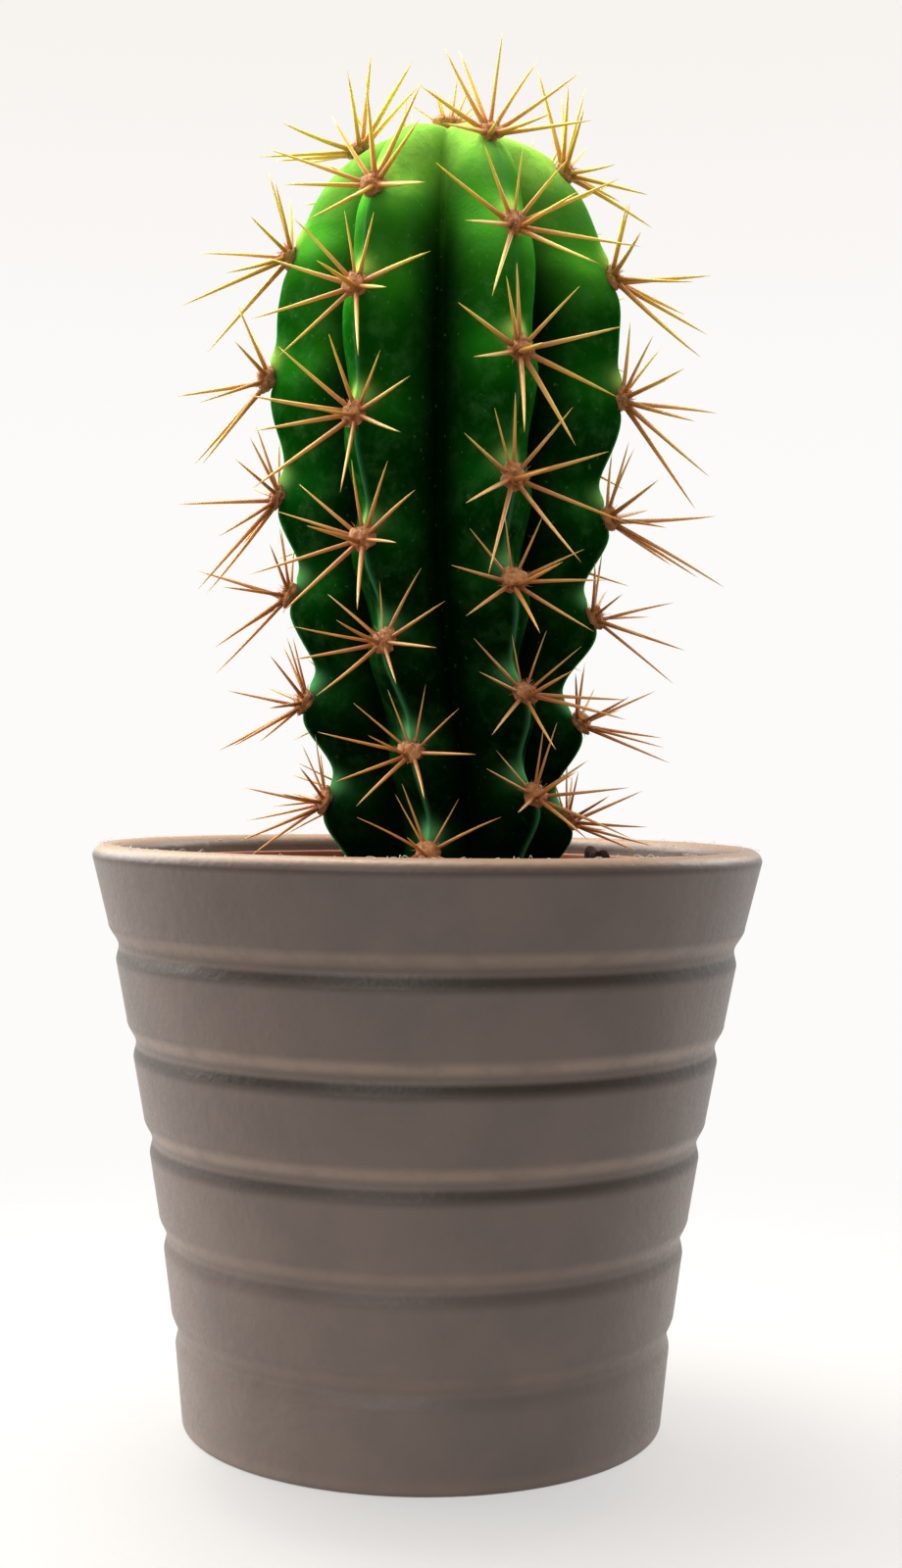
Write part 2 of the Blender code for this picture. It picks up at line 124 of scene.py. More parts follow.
def pot_profile():
    """From under the foot up the bands, over the lip and down the cavity to its floor."""
    half = LIP_THICKNESS / 2
    lip = (LIP_RADIUS - half, LIP_HEIGHT - LIP_ROUND)
    outside = []
    band_top = lip[1]
    for band, (radius, draft) in enumerate(zip(BAND_TOP_RADII, BAND_DRAFTS)):
        if band == len(BAND_TOP_RADII) - 1:
            outside.append(run((radius, band_top), (radius - draft * band_top, FOOT_ROUND), 12))
            break
        notch = NOTCH_TOP - band * NOTCH_PITCH
        edge = radius - draft * (band_top - notch - NOTCH_DROP)
        below = BAND_TOP_RADII[band + 1]
        bottom = below - HOLLOW_DEPTH
        outside.append(run((radius, band_top), (edge, notch + NOTCH_DROP), 12)[:-1])
        part = np.linspace(0.0, 1.0, 12)
        drop = np.stack([edge + (bottom - edge) * ease(part), notch + NOTCH_DROP * (1 - part)], axis=1)
        rise = np.stack([bottom + (below - bottom) * ease(part), notch - NOTCH_RISE * part], axis=1)
        outside += [drop[:-1], rise[:-1]]
        band_top = notch - NOTCH_RISE
    outside = np.concatenate(outside)[::-1]
    under = np.concatenate([
        run((POLE_RADIUS, RECESS_DEPTH), (FOOT_INNER_RADIUS - 2 * RECESS_DEPTH, RECESS_DEPTH), 6),
        arc((FOOT_INNER_RADIUS - 2 * RECESS_DEPTH, 0.0), (RECESS_DEPTH, RECESS_DEPTH), 90, 20, 6),
        run((FOOT_INNER_RADIUS, 0.0), (outside[0, 0] - FOOT_ROUND, 0.0), 4),
        arc((outside[0, 0] - FOOT_ROUND, FOOT_ROUND), (FOOT_ROUND, FOOT_ROUND), -75, -15, 4),
    ])
    over = arc(lip, (half, LIP_ROUND), 6, 180, 22)
    corner = (CAVITY_FLOOR_RADIUS - CAVITY_CORNER, CAVITY_FLOOR_HEIGHT + CAVITY_CORNER)
    cavity = np.concatenate([
        run((LIP_RADIUS - LIP_THICKNESS, lip[1] - 1 * MM), (CAVITY_FLOOR_RADIUS, corner[1]), 30),
        arc(corner, (CAVITY_CORNER, CAVITY_CORNER), -15, -90, 5),
        run((corner[0] - CAVITY_CORNER, CAVITY_FLOOR_HEIGHT), (POLE_RADIUS, CAVITY_FLOOR_HEIGHT), 6),
    ])
    return np.concatenate([under, outside, over, cavity])


class Nodes:
    """A material's node tree, with short calls to add a node and link into its sockets."""

    def __init__(self, tree):
        self.tree = tree

    def add(self, kind, inputs=None, **settings):
        node = self.tree.nodes.new(kind)
        for key, value in settings.items():
            setattr(node, key, value)
        for key, value in (inputs or {}).items():
            self.feed(node.inputs[key], value)
        return node

    def feed(self, socket, value):
        if isinstance(value, bpy.types.NodeSocket):
            self.tree.links.new(value, socket)
        elif isinstance(value, tuple) and len(value) == 3 and socket.type == "RGBA":
            socket.default_value = (*value, 1.0)
        else:
            socket.default_value = value

    def noise(self, where, scale, detail=3.0, rough=0.5):
        node = self.add("ShaderNodeTexNoise", {"Vector": where, "Scale": scale, "Detail": detail})
        node.inputs["Roughness"].default_value = rough
        return node.outputs["Fac"]

    def math(self, operation, a, b=0.0, clamp=False):
        node = self.add("ShaderNodeMath", {0: a, 1: b}, operation=operation, use_clamp=clamp)
        return node.outputs[0]

    def span(self, value, low, high, to_low=0.0, to_high=1.0):
        """Maps a value from one range to another, held at the ends."""
        inputs = {"Value": value, "From Min": low, "From Max": high, "To Min": to_low, "To Max": to_high}
        return self.add("ShaderNodeMapRange", inputs, interpolation_type="SMOOTHSTEP").outputs["Result"]

    def mix(self, factor, a, b, blend="MIX"):
        node = self.add("ShaderNodeMix", data_type="RGBA", blend_type=blend)
        factor_socket, color_a, color_b = (node.inputs[i] for i in (0, 6, 7))
        self.feed(factor_socket, factor)
        self.feed(color_a, a)
        self.feed(color_b, b)
        return node.outputs[2]

    def attribute(self, name):
        return self.add("ShaderNodeAttribute", attribute_name=name).outputs["Fac"]

    def place(self):
        return self.add("ShaderNodeTexCoord").outputs["Object"]

    def height(self):
        where = self.place()
        return where, self.add("ShaderNodeSeparateXYZ", {0: where}).outputs["Z"]


def material(name, roughness, **sockets):
    """A material with its Principled shader: returns the material, the shader and its nodes."""
    made = bpy.data.materials.new(name)
    made.use_nodes = True
    shader = made.node_tree.nodes["Principled BSDF"]
    shader.inputs["Roughness"].default_value = roughness
    for key, value in sockets.items():
        shader.inputs[key.replace("_", " ")].default_value = value
    return made, shader, Nodes(made.node_tree)


def shared_group(name, inputs, outputs):
    """An empty node group with named float or colour sockets."""
    group = bpy.data.node_groups.new(name, "ShaderNodeTree")
    for title, kind, value in inputs:
        socket = group.interface.new_socket(title, in_out="INPUT", socket_type=kind)
        if value is not None:
            socket.default_value = value
    for title, kind in outputs:
        group.interface.new_socket(title, in_out="OUTPUT", socket_type=kind)
    nodes = Nodes(group)
    return group, nodes, nodes.add("NodeGroupInput"), nodes.add("NodeGroupOutput")


def mottle_group():
    """Soft colour mottling with fine specks: two colours mixed by a broad noise, and a speck mask."""
    group, nodes, inside, out = shared_group(
        "mottle",
        [("Color A", "NodeSocketColor", (0.5, 0.5, 0.5, 1)),
         ("Color B", "NodeSocketColor", (0.4, 0.4, 0.4, 1)),
         ("Scale", "NodeSocketFloat", 60.0), ("Speck Scale", "NodeSocketFloat", 900.0)],
        [("Color", "NodeSocketColor"), ("Specks", "NodeSocketFloat"), ("Grain", "NodeSocketFloat")],
    )
    where = nodes.place()
    broad = nodes.noise(where, 1.0, 4.0, 0.55)
    nodes.feed(broad.node.inputs["Scale"], inside.outputs["Scale"])
    fine = nodes.noise(where, 1.0, 2.0, 0.6)
    nodes.feed(fine.node.inputs["Scale"], inside.outputs["Speck Scale"])
    color = nodes.mix(nodes.span(broad, 0.3, 0.7), inside.outputs["Color A"], inside.outputs["Color B"])
    nodes.feed(out.inputs["Color"], color)
    nodes.feed(out.inputs["Specks"], nodes.span(fine, 0.64, 0.74))
    nodes.feed(out.inputs["Grain"], fine)
    return group


MOTTLE = mottle_group()


def mottle(nodes, color_a, color_b, scale, speck_scale):
    """Places the mottle group in a material with its own values."""
    group = nodes.add("ShaderNodeGroup", node_tree=MOTTLE)
    group.inputs["Color A"].default_value = (*color_a, 1)
    group.inputs["Color B"].default_value = (*color_b, 1)
    group.inputs["Scale"].default_value = scale
    group.inputs["Speck Scale"].default_value = speck_scale
    return group.outputs["Color"], group.outputs["Specks"], group.outputs["Grain"]


def bump(nodes, shader, height, strength, distance):
    """Feeds a height into the shader's normal through a Bump node."""
    node = nodes.add("ShaderNodeBump", {"Height": height, "Strength": strength, "Distance": distance})
    nodes.feed(shader.inputs["Normal"], node.outputs["Normal"])


def glaze_material():
    """Satin taupe glaze, thinner and warmer on the bands' edges, with painted light in its colour:
    highlights on those edges and the lip's top, shade in the upper hollows, the cavity and under the lip.

    The place within a band is the fraction of a pitch below the topmost notch. Masks are smooth steps
    of that fraction, of the height and of the distance from the axis.
    """
    made, shader, nodes = material("taupe_glaze_satin", 0.42, Coat_Weight=0.12, Coat_Roughness=0.35)
    color, specks, grain = mottle(nodes, (0.25, 0.196, 0.172), (0.214, 0.172, 0.152), 55.0, 1500.0)
    where, z = nodes.height()
    turns = nodes.math("DIVIDE", nodes.math("SUBTRACT", NOTCH_TOP + 10 * NOTCH_PITCH, z), NOTCH_PITCH)
    turn = nodes.math("FRACT", turns)
    # Strength of the painted light on the bands: none on the lip, weaker towards the foot.
    below_lip = nodes.span(z, 0.099, 0.101, 1.0, 0.0)
    banded = nodes.math("MULTIPLY", below_lip, nodes.span(z, 0.014, 0.07, 0.2, 1.0))
    # Painted highlight over the glaze's real thinning: a warm, patchy band on each band's lower edge.
    edge = nodes.math("MULTIPLY", nodes.span(turn, 0.78, 0.88), nodes.span(turn, 0.9, 0.98, 1.0, 0.0))
    break_and_highlight_patches = nodes.span(nodes.noise(where, 160.0), 0.2, 0.6, 0.25, 0.5)
    edge = nodes.math("MULTIPLY", nodes.math("MULTIPLY", edge, banded), break_and_highlight_patches)
    warm = nodes.mix(edge, color, (0.62, 0.44, 0.33))
    # Painted shade: the hollow under each band's edge is darkened, most on the upper bands.
    hollow = nodes.math("MULTIPLY", nodes.span(turn, 0.0, 0.06), nodes.span(turn, 0.08, 0.22, 1.0, 0.0))
    hollow = nodes.math("MULTIPLY", nodes.math("MULTIPLY", hollow, banded), 0.92)
    hollow_shaded = nodes.mix(hollow, warm, (0.035, 0.024, 0.015))
    flat = nodes.add("ShaderNodeVectorMath", {0: where, 1: (1.0, 1.0, 0.0)}, operation="MULTIPLY").outputs[0]
    radius = nodes.add("ShaderNodeVectorMath", {0: flat}, operation="LENGTH").outputs["Value"]
    # Painted shade: below the lip, the inside wall of the cavity is darker and warmer.
    cavity = nodes.span(radius, LIP_RADIUS - LIP_THICKNESS, LIP_RADIUS - 0.6 * LIP_THICKNESS, 0.7, 0.0)
    inner = nodes.mix(nodes.math("MULTIPLY", cavity, nodes.span(z, 0.09, 0.1)), hollow_shaded, (0.13, 0.09, 0.062))
    # Painted shade: a thin dark line just under the lip's outer edge.
    under_lip_shade = nodes.math("MULTIPLY", nodes.span(z, LIP_HEIGHT - 3.6 * MM, LIP_HEIGHT - 2.4 * MM),
                           nodes.span(radius, LIP_RADIUS - 2.0 * MM, LIP_RADIUS - 0.8 * MM, 0.0, 0.6))
    shaded = nodes.mix(under_lip_shade, inner, (0.07, 0.045, 0.03))
    # Painted highlight: the top of the lip is lighter and warmer.
    lip_highlight = nodes.span(z, LIP_HEIGHT - 1.7 * MM, LIP_HEIGHT - 0.5 * MM, 0.0, 0.9)
    lip = nodes.mix(lip_highlight, shaded, (0.35, 0.21, 0.12))
    speckled = nodes.mix(nodes.math("MULTIPLY", specks, 0.22), lip, (0.2, 0.17, 0.15))
    nodes.feed(shader.inputs["Base Color"], speckled)
    nodes.feed(shader.inputs["Roughness"], nodes.span(grain, 0.3, 0.7, 0.36, 0.52))
    waves = nodes.math("MULTIPLY", nodes.noise(where, 110.0, 2.0), 1.5)
    peel = nodes.math("ADD", nodes.noise(where, 600.0, 3.0), waves)
    bump(nodes, shader, peel, 0.22, 0.0006)
    return made


pot = turned("glazed_pot", pot_profile())
pot.data.materials.append(glaze_material())
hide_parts("outer_pot")
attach(pot, "root")

# ---------------------------------------------------------------- nursery pot
# The thin injection-moulded terracotta-coloured pot the plant was raised in. It stands loose inside
# the cover pot, and only its rim shows, scuffed paler where it has been handled. Its drain holes,
# which can't be seen, are left to the plain solid.

NURSERY_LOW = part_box("nursery_pot")[0][2]
NURSERY_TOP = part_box("nursery_pot")[1][2]
NURSERY_RIM_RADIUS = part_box("nursery_pot")[1][0]
NURSERY_WALL = 0.9 * MM
NURSERY_FLOOR_RADIUS = 38.5 * MM
NURSERY_NECK_RADIUS = 54.6 * MM
NURSERY_NECK_HEIGHT = 101.0 * MM


def nursery_profile():
    """From the middle of its underside up the wall, out over the neck, round the rim and down inside."""
    wall, rim, neck, step = NURSERY_WALL, NURSERY_RIM_RADIUS, NURSERY_NECK_RADIUS, NURSERY_NECK_HEIGHT
    floor, low = NURSERY_FLOOR_RADIUS, NURSERY_LOW
    top = NURSERY_TOP - 0.5 * wall
    return np.concatenate([
        run((POLE_RADIUS, low), (floor - wall, low), 4),
        run((floor, low + wall), (neck, step - wall), 24),
        run((rim - 0.3 * MM, step - 0.2 * MM), (rim, step + 0.4 * MM), 3),
        run((rim, step + 1 * MM), (rim, top), 6),
        arc((rim - 0.5 * wall, top), (0.5 * wall, 0.5 * wall), 20, 160, 8),
        run((rim - wall, top), (rim - wall, step + 2 * wall), 5),
        run((neck - wall + 0.3 * MM, step + wall), (neck - wall, step), 3),
        run((neck - wall, step - 1 * MM), (floor - wall, low + 2 * wall), 16),
        run((floor - 2 * wall, low + wall), (POLE_RADIUS, low + wall), 4),
    ])


def terracotta_material():
    """Moulded plastic with a faint mottling, pale scuffs and a fine matt grain."""
    made, shader, nodes = material("terracotta_moulding", 0.5)
    color, specks, grain = mottle(nodes, (0.36, 0.115, 0.045), (0.27, 0.08, 0.035), 90.0, 1400.0)
    dusty = nodes.mix(nodes.math("MULTIPLY", specks, 0.5), color, (0.45, 0.26, 0.17))
    nodes.feed(shader.inputs["Base Color"], dusty)
    nodes.feed(shader.inputs["Roughness"], nodes.span(grain, 0.3, 0.7, 0.42, 0.62))
    bump(nodes, shader, grain, 0.15, 0.0003)
    return made


nursery = turned("nursery_pot_moulding", nursery_profile())
nursery.data.materials.append(terracotta_material())
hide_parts("nursery_pot")
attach(nursery, "root")

# ----------------------------------------------------------------------- soil
# Dark, dry potting mix: a lumpy surface that mounds a little round the stem, with loose crumbs lying
# on it and flecks of ochre fibre in its colour.

SOIL_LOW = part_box("soil")[0][2]
SOIL_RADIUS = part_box("soil")[1][0]
SOIL_MOUND_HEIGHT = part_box("soil")[1][2]
SOIL_EDGE_HEIGHT = 100.6 * MM
SOIL_MOUND_RADIUS = 30.0 * MM
LUMP_WAVES = 26
LUMP_HEIGHT = 0.011  # of each wave's length
CRUMBS = 900
CRUMB_SIZE = 1.7 * MM


def soil_height(x, y):
    """The mound's smooth slope plus a sum of seeded sine waves of 4 to 14 mm wavelength."""
    radius = np.hypot(x, y)
    part = (SOIL_RADIUS - radius) / (SOIL_RADIUS - SOIL_MOUND_RADIUS)
    rise = (SOIL_MOUND_HEIGHT - 0.4 * MM - SOIL_EDGE_HEIGHT) * ease(part)
    draw = np.random.default_rng(11)
    lumps = np.zeros_like(radius)
    for _ in range(LUMP_WAVES):
        heading, phase = draw.uniform(0, math.tau, 2)
        length = draw.uniform(4.0, 14.0) * MM
        lumps += length * np.sin((x * math.cos(heading) + y * math.sin(heading)) * math.tau / length + phase)
    calm = np.minimum(1.0, (SOIL_RADIUS - radius) / (3 * MM) + 0.15)
    return SOIL_EDGE_HEIGHT + rise + LUMP_HEIGHT * lumps * calm


def soil_bed():
    """A polar grid over the top of the soil, carried down the wall to a flat underside."""
    angle = np.linspace(0.0, math.tau, 260, endpoint=False)
    radius = np.linspace(1 * MM, SOIL_RADIUS, 96)[:, None]
    x, y = radius * np.cos(angle), radius * np.sin(angle)
    top = np.stack([x, y, soil_height(x, y)], axis=-1)[::-1]
    low_radius = NURSERY_FLOOR_RADIUS - NURSERY_WALL
    wall = run((low_radius, SOIL_LOW), (SOIL_RADIUS, SOIL_EDGE_HEIGHT - 1 * MM), 12)
    under = np.concatenate([run((POLE_RADIUS, SOIL_LOW), (low_radius - 1 * MM, SOIL_LOW), 4), wall])
    radius, height = under[:, 0:1], under[:, 1:2]
    ring = np.stack([radius * np.cos(angle), radius * np.sin(angle), height + 0 * angle], axis=-1)
    return surface("soil_bed", np.concatenate([ring, top]))


def scatter(name, unit, faces, centers, sizes, turns):
    """One mesh of many copies of a small closed shape, each sized, turned and moved as whole arrays."""
    points = np.einsum("nij,npj->npi", turns, unit[None] * sizes[:, None, :]) + centers[:, None, :]
    count = len(centers)
    index = faces[None] + (np.arange(count) * len(unit))[:, None, None]
    mesh = bpy.data.meshes.new(name)
    mesh.from_pydata(points.reshape(-1, 3).tolist(), [], index.reshape(-1, faces.shape[1]).tolist())
    piece = bpy.data.objects.new(name, mesh)
    bpy.context.scene.collection.objects.link(piece)
    return piece


def random_turns(draw, count):
    """Rotation matrices from seeded unit quaternions."""
    quaternions = draw.normal(size=(4, count))
    w, x, y, z = quaternions / np.linalg.norm(quaternions, axis=0)
    rows = [[1 - 2 * (y * y + z * z), 2 * (x * y - z * w), 2 * (x * z + y * w)],
            [2 * (x * y + z * w), 1 - 2 * (x * x + z * z), 2 * (y * z - x * w)],
            [2 * (x * z - y * w), 2 * (y * z + x * w), 1 - 2 * (x * x + y * y)]]
    return np.array(rows).transpose(2, 0, 1)


def lump_shape():
    """An octahedron with its edges split once and pushed out to an uneven ball: 18 points, 32 triangles."""
    steps = np.array([(x, y, z) for x in (-1, 0, 1) for y in (-1, 0, 1) for z in (-1, 0, 1)], float)
    kept = steps[(np.abs(steps).sum(1) > 0) & (np.abs(steps).sum(1) < 3)]
    rough = np.random.default_rng(4).uniform(0.8, 1.15, len(kept))
    place = {tuple(p): i for i, p in enumerate(kept.astype(int))}
    faces = []
    for sx in (-1, 1):
        for sy in (-1, 1):
            for sz in (-1, 1):
                a, b, c = place[(sx, 0, 0)], place[(0, sy, 0)], place[(0, 0, sz)]
                ab, bc, ca = place[(sx, sy, 0)], place[(0, sy, sz)], place[(sx, 0, sz)]
                four = [(a, ab, ca), (ab, b, bc), (ca, bc, c), (ab, bc, ca)]
                faces += four if sx * sy * sz > 0 else [f[::-1] for f in four]
    return kept / np.linalg.norm(kept, axis=1)[:, None] * rough[:, None], np.array(faces)


def soil_material():
    """Crumbly peat: near-black brown mixed with dry ochre fibre, very rough, deeply bumped."""
    made, shader, nodes = material("potting_mix", 0.95)
    color, specks, grain = mottle(nodes, (0.05, 0.03, 0.018), (0.022, 0.014, 0.01), 260.0, 1100.0)
    dry = nodes.mix(nodes.math("MULTIPLY", specks, 0.8), color, (0.22, 0.12, 0.06))
    nodes.feed(shader.inputs["Base Color"], dry)
    nodes.feed(shader.inputs["Roughness"], nodes.span(grain, 0.3, 0.7, 0.85, 1.0))
    bump(nodes, shader, grain, 0.9, 0.0012)
    return made


SOIL_MATERIAL = soil_material()
bed = soil_bed()
bed.data.materials.append(SOIL_MATERIAL)
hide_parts("soil")
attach(bed, "root")

draw = np.random.default_rng(23)
lump, lump_faces = lump_shape()
reach = np.sqrt(draw.uniform((16 * MM) ** 2, (SOIL_RADIUS - 1.5 * MM) ** 2, CRUMBS))
heading = draw.uniform(0, math.tau, CRUMBS)
x, y = reach * np.cos(heading), reach * np.sin(heading)
sizes = draw.uniform(0.35, 1.0, (CRUMBS, 1)) ** 2 * draw.uniform(0.7, 1.3, (CRUMBS, 3)) * CRUMB_SIZE
centers = np.stack([x, y, soil_height(x, y) + 0.3 * sizes.min(1)], axis=1)
crumbs = scatter("soil_crumbs", lump, lump_faces, centers, sizes, random_turns(draw, CRUMBS))
crumbs.data.shade_flat()
crumbs.data.materials.append(SOIL_MATERIAL)
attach(crumbs, "root")

# ----------------------------------------------------------------- bark chips
# Dark weathered chips of pine bark on top of the soil, split along the grain, with broken edges.
# They lie loose where they fell.

CHIP_WAVES = 14


def bark_material():
    """Dark bark: long noise along the chip's height for the grain, in darker and paler streaks."""
    made, shader, nodes = material("weathered_bark", 0.9)
    mapping = nodes.add("ShaderNodeMapping", {"Vector": nodes.place(), "Scale": (1.0, 1.0, 0.25)})
    stretched = mapping.outputs["Vector"]
    grain = nodes.noise(stretched, 900.0, 4.0, 0.65)
    color = nodes.mix(nodes.span(grain, 0.35, 0.7), (0.018, 0.009, 0.006), (0.1, 0.05, 0.028))
    nodes.feed(shader.inputs["Base Color"], color)
    nodes.feed(shader.inputs["Roughness"], nodes.span(grain, 0.3, 0.7, 0.8, 1.0))
    bump(nodes, shader, grain, 0.8, 0.0008)
    return made


def squared(value):
    """A sine or cosine raised to a power below one, its sign kept, which squares up a sphere."""
    return np.sign(value) * np.abs(value) ** 0.55


def bark_chip(name, low, high, seed):
    """A box-like superellipsoid inside the chip's own box, broken by seeded waves across its skin."""
    lat = np.linspace(-math.pi / 2, math.pi / 2, 40)[1:-1, None]
    lon = np.linspace(0.0, math.tau, 56, endpoint=False)
    unit = np.stack([squared(np.cos(lat)) * squared(np.cos(lon)), squared(np.cos(lat)) * squared(np.sin(lon)),
                     squared(np.sin(lat)) + 0 * lon], axis=-1)
    draw = np.random.default_rng(seed)
    bend = np.zeros(unit.shape[:2])
    for _ in range(CHIP_WAVES):
        wave = draw.normal(size=3) * draw.uniform(1.5, 6.0)
        bend += np.sin(unit @ wave + draw.uniform(0, math.tau)) / np.linalg.norm(wave)
    unit *= (0.9 + 0.16 * bend)[..., None]
    unit /= np.abs(unit).max(axis=(0, 1))
    return surface(name, (low + high) / 2 + unit * (high - low) / 2)


BARK_MATERIAL = bark_material()
for number, chip in enumerate(sorted(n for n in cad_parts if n.startswith("bark_chip")), start=1):
    low, high = (np.array(corner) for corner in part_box(chip))
    piece = bark_chip(chip + "_weathered", low, high, seed=30 + number)
    piece.data.materials.append(BARK_MATERIAL)
    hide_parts(chip)
    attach(piece, "root")

# ----------------------------------------------------------------------- stem
# The living column: six ribs with scalloped crests that turn a little near the ground, drawn in at
# the dome to the growing tip. The skin is waxy, yellow-green where it is young and deep green below,
# with painted shade making it near black towards the foot and down in the grooves, and painted light
# and shade on the slopes above and below each areole. A pale line of thicker skin runs along each
# crest, and a lighter chin sits above each areole.

STEM_X = 2.6 * MM
STEM_LEAN = 2.0 * MM
FOOT_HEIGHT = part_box("stem")[0][2]
TIP_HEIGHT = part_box("stem")[1][2]
GROUND_HEIGHT = 104.0 * MM
WAIST_HEIGHT = 205.0 * MM
STEM_RADIUS = 35.0 * MM
STEM_SLIMMING = 12.5 * MM
SLIMMING_SPAN = 110.0 * MM
TWIST = math.radians(18.5)
TWIST_TOP = 176.0 * MM
TWIST_BOTTOM = 112.0 * MM
# Each rib: azimuth, height of its top areole in mm, stretch of its gaps, depth of its scallops
RIBS = (
    (-92.0, 248.0, 1.02, 0.95),
    (-29.5, 234.6, 0.985, 1.0),
    (22.0, 246.2, 0.99, 1.05),
    (85.0, 243.6, 1.01, 1.2),
    (146.0, 239.0, 0.99, 1.0),
    (207.0, 244.5, 0.98, 0.9),
)
AREOLE_GAPS = (20.0, 23.5, 23.0, 19.0, 20.5, 19.0)
SCALLOP_HEIGHTS = [z * MM for z in (110.0, 146.0, 185.0, 215.0, 245.0)]
SCALLOP_DEPTHS = [d * MM for d in (4.6, 4.5, 2.4, 1.0, 0.2)]
SCALLOP_SHIFT = 0.12  # of a gap, from an areole down to the bulge under it
SCALLOP_FALL = 0.62  # of a gap, from a bulge down to the next hollow
GROOVE_RATIO = 0.54
RIB_STATIONS = 40
CREST_ROUNDING = 0.012
FOLD_DEPTH = 0.9 * MM
LINE_WIDTH = 0.42 * MM
SEAT_WIDTH = 1.7 * MM
CHIN_WIDTH = 1.3 * MM
CHIN_RISE = 3.5 * MM
SKIN_WAVES = 18
WAVE_STEEPNESS = 0.0035


def areole_heights(rib):
    """Heights of a rib's areoles: the top one, then each gap times the rib's stretch further down."""
    top, stretch = RIBS[rib][1:3]
    return (top - stretch * np.concatenate([[0.0], np.cumsum(AREOLE_GAPS)])) * MM


def envelope(z):
    """Radius the crests reach: a superellipse dome above the waist, a power-law taper below it."""
    up = np.clip((z - WAIST_HEIGHT) / (TIP_HEIGHT - WAIST_HEIGHT), 0.0, 1.0)
    down = np.clip((WAIST_HEIGHT - z) / SLIMMING_SPAN, 0.0, 2.0)
    sunk = np.clip((GROUND_HEIGHT - z) / (GROUND_HEIGHT - FOOT_HEIGHT), 0.0, 1.0)
    return (STEM_RADIUS * (1.0 - up**1.6) ** (1 / 3) - STEM_SLIMMING * down**1.2) * (1.0 - 0.45 * sunk**2)


def scallop_turn(rib, z):
    """Where a height lies in a scallop: 0 at the bulge under an areole, 0.5 in the hollow over the next."""
    heights = areole_heights(rib)
    last_gap = heights[-2] - heights[-1]
    buried = [heights[-1] - last_gap, heights[-1] - 2 * last_gap]
    ladder = np.concatenate([[heights[0] + 20 * MM], heights, buried])
    place = np.interp(z, ladder[::-1], np.arange(len(ladder))[::-1])
    phase = (place - SCALLOP_SHIFT) % 1.0
    falling = 0.5 * phase / SCALLOP_FALL
    rising = 0.5 + 0.5 * (phase - SCALLOP_FALL) / (1.0 - SCALLOP_FALL)
    return np.where(phase < SCALLOP_FALL, falling, rising)


def crest_radius(rib, z):
    """The envelope less a skewed cosine whose hollow lies a quarter of a gap above each areole."""
    dip = 0.5 - 0.5 * np.cos(math.tau * scallop_turn(rib, z))
    return envelope(z) - RIBS[rib][3] * np.interp(z, SCALLOP_HEIGHTS, SCALLOP_DEPTHS) * dip


def rib_azimuth(rib, z):
    """Azimuth of a crest, from the viewer's side, with the smooth twist near the ground added."""
    return math.radians(RIBS[rib][0]) + TWIST * ease((TWIST_TOP - z) / (TWIST_TOP - TWIST_BOTTOM))


def half_gap(rib, side):
    """Half of the angle from a rib to its neighbour on one side."""
    return math.radians(side * (RIBS[(rib + side) % len(RIBS)][0] - RIBS[rib][0]) % 360) / 2


def rib_skin(rib, z):
    """One rib's strip of skin as a grid, rows up and stations across, with its masks.

    The radius falls from the crest to the groove as 1 - across^p, and the flanks fold in at each
    scallop's hollow. On it lie a fine ridge along the crest, and at each areole a seat pressed in and
    a chin swollen above it, all Gaussians.
    """
    spread = np.linspace(-1.0, 1.0, RIB_STATIONS, endpoint=False)
    station = np.sign(spread) * np.abs(spread) ** 1.7
    across = np.hypot(station, CREST_ROUNDING) - CREST_ROUNDING
    across = across / (math.hypot(1.0, CREST_ROUNDING) - CREST_ROUNDING)
    rise = ease((z - WAIST_HEIGHT) / (TIP_HEIGHT - WAIST_HEIGHT))
    groove = envelope(z) * (GROOVE_RATIO + 0.02 * rise)
    radius = groove + (crest_radius(rib, z) - groove) * (1.0 - across ** (1.15 + 0.3 * rise))
    turn = scallop_turn(rib, z)
    near_tip = ease((TIP_HEIGHT - z) / (18 * MM))
    fold = near_tip * (0.5 - 0.5 * np.cos(math.tau * turn)) * np.sin(math.pi * across) ** 2
    radius = radius - FOLD_DEPTH * fold
    gap = np.where(station > 0, half_gap(rib, 1), half_gap(rib, -1))
    azimuth = rib_azimuth(rib, z) + station * gap
    side = station * gap * radius
    fade = 0.5 + 0.5 * ease((0.225 - z) / 0.08)
    line = np.exp(-((side / LINE_WIDTH) ** 2)) * fade
    seat, chin = 0.0, 0.0
    for height in areole_heights(rib):
        seat = seat + np.exp(-(side**2 + (z - height) ** 2) / (2 * SEAT_WIDTH**2))
        chin = chin + np.exp(-(side**2 + 0.7 * (z - height - CHIN_RISE) ** 2) / (2 * CHIN_WIDTH**2))
    radius = radius + (0.25 * line - 0.8 * seat + (0.6 + 0.4 * fade) * chin) * MM
    # Mask for painted light and shade: positive on slopes that face up, negative on slopes that face down.
    slope = -np.sin(math.tau * turn) * (1.0 - across) ** 0.6 * near_tip
    middle = STEM_X + STEM_LEAN * ease((0.150 - z) / 0.042)
    points = np.stack([middle + radius * np.sin(azimuth), -radius * np.cos(azimuth), z + 0 * radius], axis=-1)
    return points, line, chin, across + 0 * z, slope


